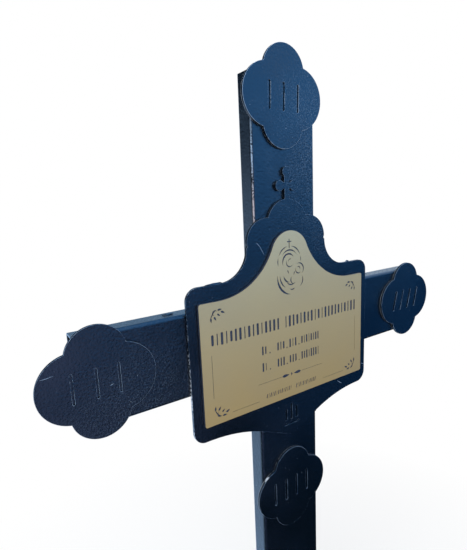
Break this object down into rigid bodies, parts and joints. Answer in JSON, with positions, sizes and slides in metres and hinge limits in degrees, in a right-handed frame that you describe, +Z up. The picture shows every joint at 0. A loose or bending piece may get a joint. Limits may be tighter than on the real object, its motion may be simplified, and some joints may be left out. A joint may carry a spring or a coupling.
{
  "type": "metal grave cross",
  "caption": "Welded steel-tube grave cross with four-lobed end plates, a shaped plaque at the crossing and a gold bell-topped nameplate.",
  "frame": {"origin": "centre of the post's lower end, cut flat where the post enters the ground", "axes": "+Z up along the post, the front with the plaque faces -Y, +X to the right seen from the front"},
  "size_m": [0.495, 0.026, 0.981],
  "materials": {
    "black_paint": "glossy blue-black brushed enamel on steel, with a slight orange peel",
    "gold_plate": "satin pale gold face with dark engraving and black edges"
  },
  "bodies": {
    "root": {"post": "black_paint", "left_arm": "black_paint", "right_arm": "black_paint", "top_medallion": "black_paint", "left_medallion": "black_paint", "right_medallion": "black_paint", "lower_medallion": "black_paint", "plaque": "black_paint", "nameplate": "gold_plate"}
  },
  "joints": []
}
